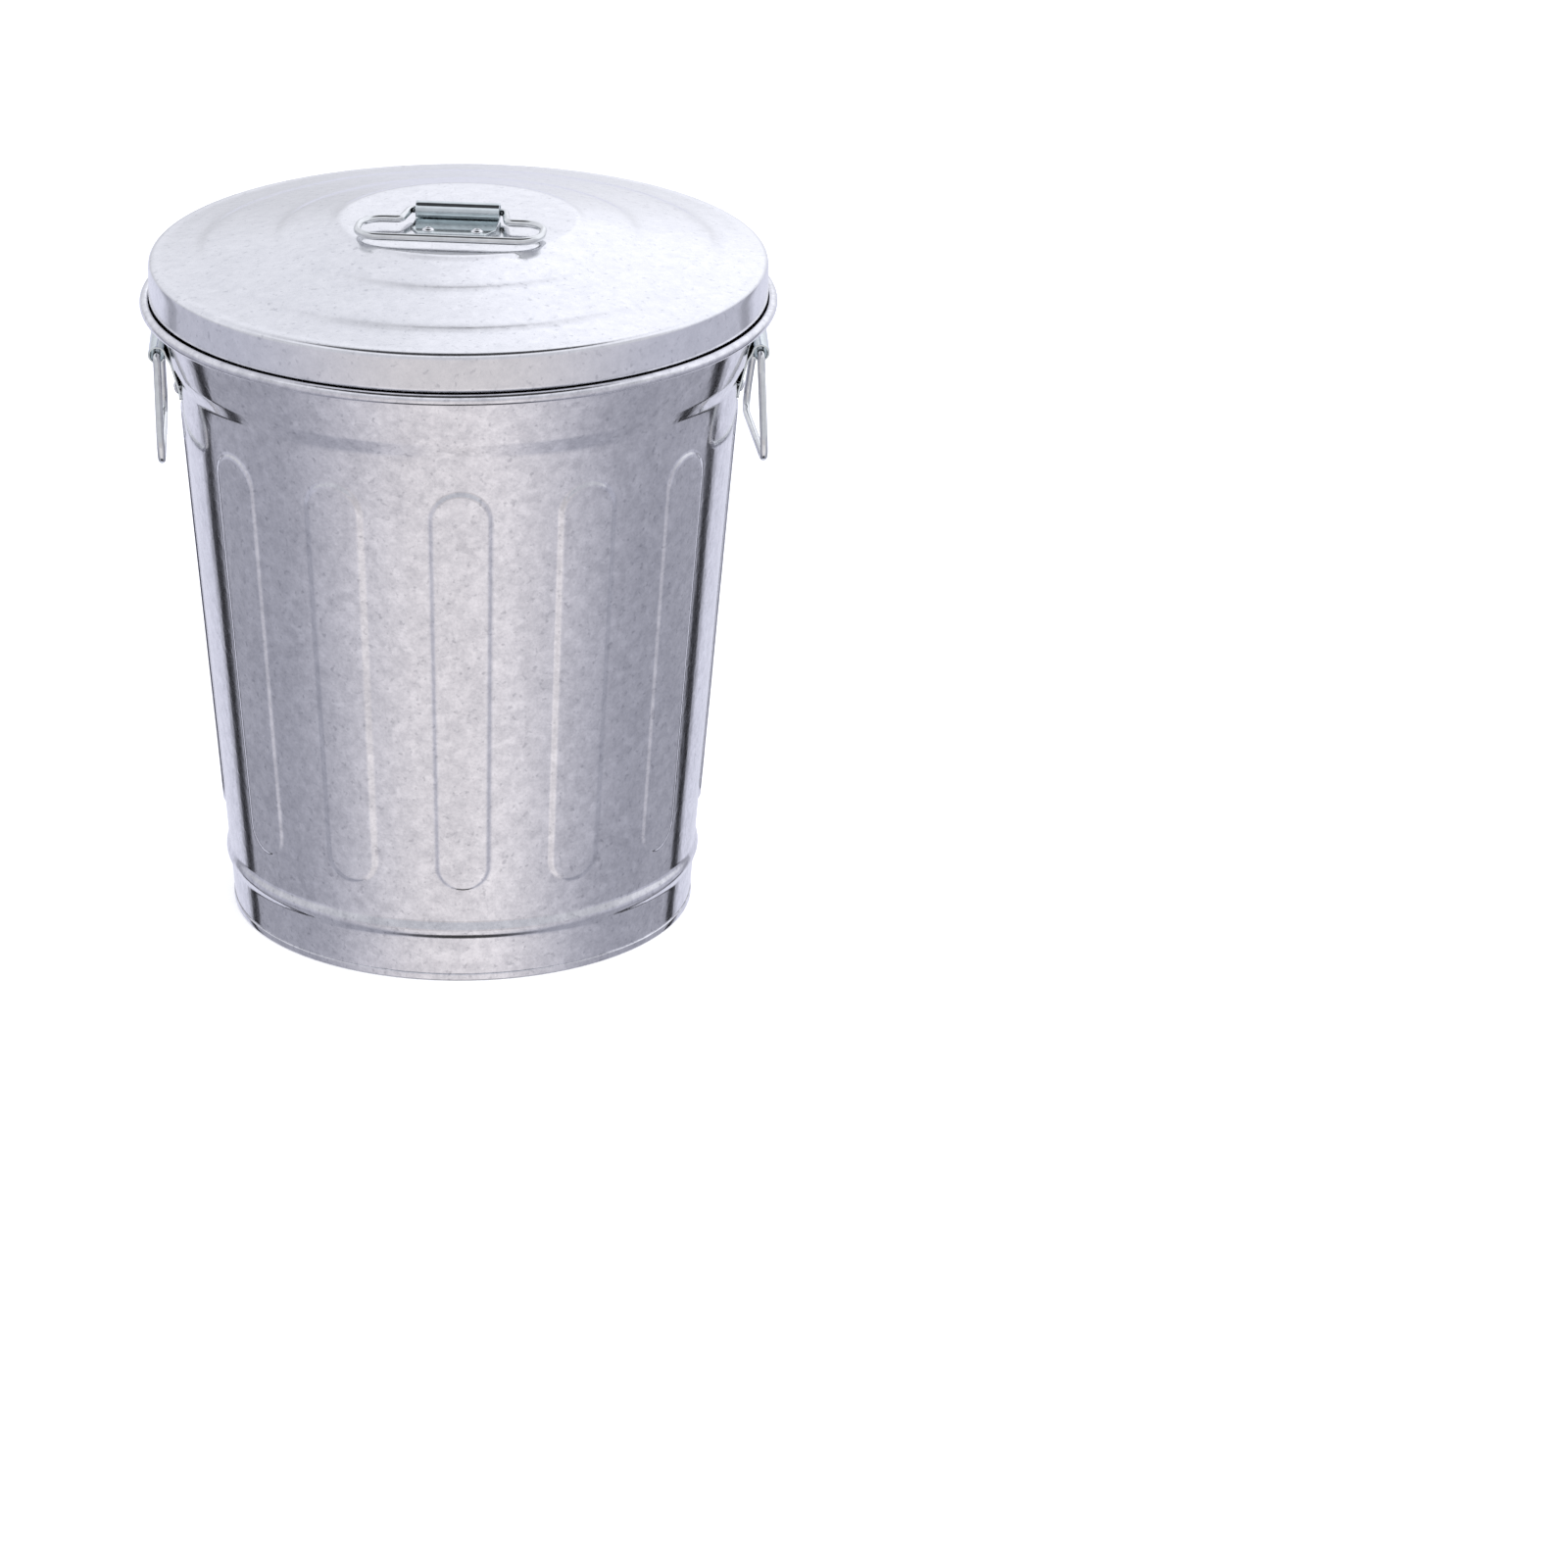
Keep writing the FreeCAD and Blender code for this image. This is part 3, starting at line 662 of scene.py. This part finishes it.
# ------------------------------------------------------------------ materials
def new_material(name):
    mat = bpy.data.materials.new(name)
    mat.use_nodes = True
    nt = mat.node_tree
    bsdf = [n for n in nt.nodes if n.type == "BSDF_PRINCIPLED"][0]
    return mat, nt, bsdf


def add(nt, kind, **inputs):
    node = nt.nodes.new(kind)
    for key, val in inputs.items():
        if key in node.inputs:
            node.inputs[key].default_value = val
    return node


def zinc(name, tint, dark, rough_lo, rough_hi, coat, coat_rough, bump):
    """Hot-dip zinc: faint soft crystal patches over a satin metal with a clear gloss."""
    mat, nt, bsdf = new_material(name)
    link = nt.links.new
    coord = nt.nodes.new("ShaderNodeTexCoord")

    def math_node(op, a, b, c=None):
        n = nt.nodes.new("ShaderNodeMath")
        n.operation = op
        for i, v in enumerate((a, b, c)):
            if v is None:
                continue
            if isinstance(v, (int, float)):
                n.inputs[i].default_value = v
            else:
                link(v, n.inputs[i])
        return n.outputs[0]

    def noise_fac(scale, detail=3.0, rough=0.6):
        n = add(nt, "ShaderNodeTexNoise", Scale=scale, Detail=detail, Roughness=rough)
        link(coord.outputs["Object"], n.inputs["Vector"])
        return n

    warp = noise_fac(120.0, 3.0)
    mix = nt.nodes.new("ShaderNodeMix")
    mix.data_type = "VECTOR"
    mix.inputs[0].default_value = 0.012
    link(coord.outputs["Object"], mix.inputs[4])
    link(warp.outputs["Color"], mix.inputs[5])
    vor = add(nt, "ShaderNodeTexVoronoi", Scale=230.0, Smoothness=0.6)
    vor.feature = "SMOOTH_F1"
    link(mix.outputs[1], vor.inputs["Vector"])
    patch = nt.nodes.new("ShaderNodeSeparateColor")
    link(vor.outputs["Color"], patch.inputs[0])
    cloud = noise_fac(26.0, 3.0, 0.55).outputs["Fac"]
    blotch = noise_fac(185.0, 3.0, 0.6).outputs["Fac"]
    grain = noise_fac(620.0, 2.0, 0.6).outputs["Fac"]
    fac = math_node("MULTIPLY", cloud, 0.14)
    fac = math_node("MULTIPLY_ADD", blotch, 0.38, fac)
    fac = math_node("MULTIPLY_ADD", patch.outputs[0], 0.16, fac)
    fac = math_node("MULTIPLY_ADD", grain, 0.32, fac)
    ramp = nt.nodes.new("ShaderNodeValToRGB")
    ramp.color_ramp.elements[0].position = 0.30
    ramp.color_ramp.elements[0].color = (*dark, 1)
    ramp.color_ramp.elements[1].position = 0.68
    ramp.color_ramp.elements[1].color = (*tint, 1)
    link(fac, ramp.inputs[0])
    # small dark specks
    speck = nt.nodes.new("ShaderNodeMapRange")
    speck.inputs["From Min"].default_value = 0.61
    speck.inputs["From Max"].default_value = 0.74
    speck.inputs["To Min"].default_value = 0.0
    speck.inputs["To Max"].default_value = 0.45
    link(noise_fac(330.0, 2.0, 0.5).outputs["Fac"], speck.inputs["Value"])
    mc = nt.nodes.new("ShaderNodeMix")
    mc.data_type = "RGBA"
    link(speck.outputs[0], mc.inputs[0])
    link(ramp.outputs[0], mc.inputs[6])
    mc.inputs[7].default_value = (dark[0] * 0.55, dark[1] * 0.55, dark[2] * 0.58, 1)
    link(mc.outputs[2], bsdf.inputs["Base Color"])
    rr = nt.nodes.new("ShaderNodeMapRange")
    rr.inputs["From Min"].default_value = 0.30
    rr.inputs["From Max"].default_value = 0.68
    rr.inputs["To Min"].default_value = rough_hi
    rr.inputs["To Max"].default_value = rough_lo
    link(fac, rr.inputs["Value"])
    link(rr.outputs[0], bsdf.inputs["Roughness"])
    bsdf.inputs["Metallic"].default_value = 1.0
    bsdf.inputs["Coat Weight"].default_value = coat
    bsdf.inputs["Coat Roughness"].default_value = coat_rough
    bp = nt.nodes.new("ShaderNodeBump")
    bp.inputs["Strength"].default_value = bump
    bp.inputs["Distance"].default_value = 0.0002
    link(math_node("MULTIPLY_ADD", blotch, 0.7, patch.outputs[0]), bp.inputs["Height"])
    link(bp.outputs[0], bsdf.inputs["Normal"])
    return mat


MAT_WALL = zinc("zinc_wall", (0.86, 0.855, 0.885), (0.54, 0.54, 0.575), 0.09, 0.15, 0.4, 0.04, 0.12)
MAT_LID = zinc("zinc_lid", (0.85, 0.85, 0.875), (0.70, 0.705, 0.735), 0.10, 0.17, 0.3, 0.04, 0.10)


def plated(name, tint, rough, coat=0.0):
    mat, nt, bsdf = new_material(name)
    link = nt.links.new
    coord = nt.nodes.new("ShaderNodeTexCoord")
    n1 = add(nt, "ShaderNodeTexNoise", Scale=220.0, Detail=3.0)
    link(coord.outputs["Object"], n1.inputs["Vector"])
    ramp = nt.nodes.new("ShaderNodeValToRGB")
    ramp.color_ramp.elements[0].position = 0.3
    ramp.color_ramp.elements[0].color = (*[c * 0.86 for c in tint], 1)
    ramp.color_ramp.elements[1].position = 0.7
    ramp.color_ramp.elements[1].color = (*tint, 1)
    link(n1.outputs["Fac"], ramp.inputs[0])
    link(ramp.outputs[0], bsdf.inputs["Base Color"])
    rr = nt.nodes.new("ShaderNodeMapRange")
    rr.inputs["To Min"].default_value = rough * 0.8
    rr.inputs["To Max"].default_value = rough * 1.25
    link(n1.outputs["Fac"], rr.inputs["Value"])
    link(rr.outputs[0], bsdf.inputs["Roughness"])
    bsdf.inputs["Metallic"].default_value = 1.0
    bsdf.inputs["Coat Weight"].default_value = coat
    return mat


MAT_WIRE = plated("zinc_wire", (0.76, 0.775, 0.78), 0.07)
MAT_EAR = plated("zinc_strap", (0.68, 0.735, 0.75), 0.10)
MAT_RIVET = plated("rivet_metal", (0.84, 0.85, 0.87), 0.18)
# painted shade: the near-black stubs stand in for the shade inside the open ends of the hinge barrels
MAT_STUB_SHADE = plated("barrel_end_painted_shade", (0.16, 0.16, 0.17), 0.45)


def paint(ob, mat):
    if not ob.material_slots:
        ob.data.materials.append(mat)
        return
    for s in ob.material_slots:
        s.material = mat


for ob in (body, pan):
    paint(ob, MAT_WALL)
paint(lid, MAT_LID)
for ob in [lid_ear] + side_ears:
    paint(ob, MAT_EAR)
for name in ("lid_handle_wire", "left_handle_wire", "right_handle_wire"):
    paint(bpy.data.objects[name], MAT_WIRE)
for name in ("lid_rivet_heads", "left_rivet_heads", "right_rivet_heads"):
    paint(bpy.data.objects[name], MAT_RIVET)
for node_name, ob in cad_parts.items():
    if node_name == "rim_wire":
        paint(ob, MAT_WIRE)
    # the stubs carry the near-black painted shade of the barrel ends
    elif node_name.endswith("_stubs"):
        paint(ob, MAT_STUB_SHADE)

# ------------------------------------------------------------------ stage
bpy.ops.mesh.primitive_plane_add(size=30.0, location=(0, 6.0, -0.0003))
floor = bpy.context.active_object
floor.name = "floor"
fmat, fnt, fb = new_material("floor_paint")
fb.inputs["Base Color"].default_value = (0.92, 0.92, 0.925, 1)
fb.inputs["Roughness"].default_value = 1.0
fb.inputs["Specular IOR Level"].default_value = 0.0
fb.inputs["Emission Color"].default_value = (1, 1, 1, 1)
fb.inputs["Emission Strength"].default_value = 0.38
floor.data.materials.append(fmat)
floor.visible_glossy = False

# Studio surroundings as a function of direction: soft boxes overhead and in
# front, grey sides, a narrow dark gap either side behind, white behind.
world = bpy.data.worlds.new("studio")
bpy.context.scene.world = world
world.use_nodes = True
wn = world.node_tree
for n in list(wn.nodes):
    wn.nodes.remove(n)
wl = wn.links.new
tc = wn.nodes.new("ShaderNodeTexCoord")
sep = wn.nodes.new("ShaderNodeSeparateXYZ")
wl(tc.outputs["Generated"], sep.inputs[0])


def wmath(op, a, b=None, c=None):
    n = wn.nodes.new("ShaderNodeMath")
    n.operation = op
    for i, v in enumerate((a, b, c)):
        if v is None:
            continue
        if isinstance(v, (int, float)):
            n.inputs[i].default_value = v
        else:
            wl(v, n.inputs[i])
    return n.outputs[0]


def wramp(val, lo, hi, out_lo=0.0, out_hi=1.0):
    n = wn.nodes.new("ShaderNodeMapRange")
    n.interpolation_type = "SMOOTHSTEP"
    wl(val, n.inputs["Value"])
    n.inputs["From Min"].default_value = lo
    n.inputs["From Max"].default_value = hi
    n.inputs["To Min"].default_value = out_lo
    n.inputs["To Max"].default_value = out_hi
    return n.outputs[0]


def band(val, a, b, soft):
    return wmath("MULTIPLY", wramp(val, a - soft, a + soft), wramp(val, b - soft, b + soft, 1.0, 0.0))


DEG = math.pi / 180
neg_y = wmath("MULTIPLY", sep.outputs["Y"], -1.0)
az_signed = wmath("ARCTAN2", sep.outputs["X"], neg_y)
az = wmath("DIVIDE", wmath("ABSOLUTE", az_signed), DEG)
el = wmath("DIVIDE", wmath("ARCSINE", sep.outputs["Z"]), DEG)


def mixv(base, over, fac):
    """base + (over - base) * fac with plain numbers or sockets."""
    n = wn.nodes.new("ShaderNodeMix")
    n.data_type = "FLOAT"
    for i, v in ((0, fac), (2, base), (3, over)):
        if isinstance(v, (int, float)):
            n.inputs[i].default_value = v
        else:
            wl(v, n.inputs[i])
    return n.outputs[0]


# below the horizon: a broad light patch in front, bluer and dimmer sides, a
# narrow dark gap either side behind, soft light beyond it and dark underfoot
azs = wmath("DIVIDE", az_signed, DEG)
glow = wmath("ABSOLUTE", wmath("ADD", azs, 2.0))
glow = wramp(glow, 92.0, 10.0)
peak = wmath("MULTIPLY", wramp(wmath("ABSOLUTE", wmath("SUBTRACT", azs, 17.0)), 16.0, 3.0), 0.05)
low = wmath("ADD", mixv(0.45, 0.95, glow), peak)
low = mixv(low, mixv(0.60, 0.78, glow), wramp(el, -25.5, -20.0))
low = mixv(low, 0.80, wramp(az, 138.0, 142.0))
gap = wmath("MULTIPLY", band(az, 128.6, 136.6, 0.8), wramp(el, -21.2, -23.4, 0.35, 1.0))
low = mixv(low, 0.01, gap)
low = mixv(low, 0.06, wramp(el, -69.0, -79.0))
# above the horizon: light behind and in front, dark straight overhead, and the
# light behind is stronger to the right
back = mixv(0.74, 0.97, wramp(el, 2.0, 20.0))
back = mixv(back, 0.84, wramp(el, 42.0, 56.0))
back = wmath("MULTIPLY", back, wramp(sep.outputs["X"], -0.13, 0.13, 0.96, 1.27))
fore = mixv(0.72, 1.02, wramp(el, 24.0, 46.0))
high = mixv(fore, back, wramp(az, 70.0, 100.0))
high = mixv(high, 0.06, wramp(el, 57.0, 68.0))
total = mixv(low, high, wramp(el, -7.0, 2.0))
warm = wmath("MULTIPLY", glow, wramp(el, 2.0, -7.0))
cool = wramp(el, 2.0, -7.0, 1.05, 1.14)
comb = wn.nodes.new("ShaderNodeCombineColor")
wl(wmath("MULTIPLY", total, mixv(0.97, 1.0, warm)), comb.inputs[0])
wl(wmath("MULTIPLY", total, mixv(0.985, 0.965, warm)), comb.inputs[1])
wl(wmath("MULTIPLY", total, mixv(cool, 0.985, warm)), comb.inputs[2])
bg = wn.nodes.new("ShaderNodeBackground")
wl(comb.outputs[0], bg.inputs["Color"])
bg.inputs["Strength"].default_value = 1.0
wo = wn.nodes.new("ShaderNodeOutputWorld")
wl(bg.outputs[0], wo.inputs["Surface"])


def area(name, loc, target, size, power, color=(1, 1, 1)):
    ld = bpy.data.lights.new(name, "AREA")
    ld.shape = "RECTANGLE"
    ld.size, ld.size_y = size
    ld.energy = power
    ld.color = color
    ob = bpy.data.objects.new(name, ld)
    bpy.context.scene.collection.objects.link(ob)
    ob.location = loc
    ob.rotation_mode = "QUATERNION"
    ob.rotation_quaternion = (Vector(target) - Vector(loc)).to_track_quat("-Z", "Y")
    return ob


soft = area("soft_overhead", (0.3, -0.3, 2.4), (0, 0, 0.2), (2.4, 2.4), 40.0)
soft.visible_glossy = False

# ------------------------------------------------------------------ camera
cam_data = bpy.data.cameras.new("camera")
cam_data.sensor_width = 36.0
cam_data.lens = 157.795
cam_data.clip_start, cam_data.clip_end = 0.1, 60.0
cam = bpy.data.objects.new("camera", cam_data)
bpy.context.scene.collection.objects.link(cam)
right = Vector((0.99888899484207, -0.04569776493222456, 0.011510441503179727))
up = Vector((0.0067772287970322, 0.38101649039155044, 0.9245434025612527))
fwd = Vector((0.04663523510428196, 0.923438221176655, -0.3809028833139277))
rotm = Matrix((right, up, -fwd)).transposed()
cam.location = (0.00040040986755750864, -3.3904747950392204, 1.4575365841033738)
cam.rotation_mode = "QUATERNION"
cam.rotation_quaternion = rotm.to_quaternion()
bpy.context.scene.camera = cam
bpy.context.scene.view_settings.view_transform = "Standard"
bpy.context.scene.view_settings.look = "None"

bpy.context.view_layer.update()
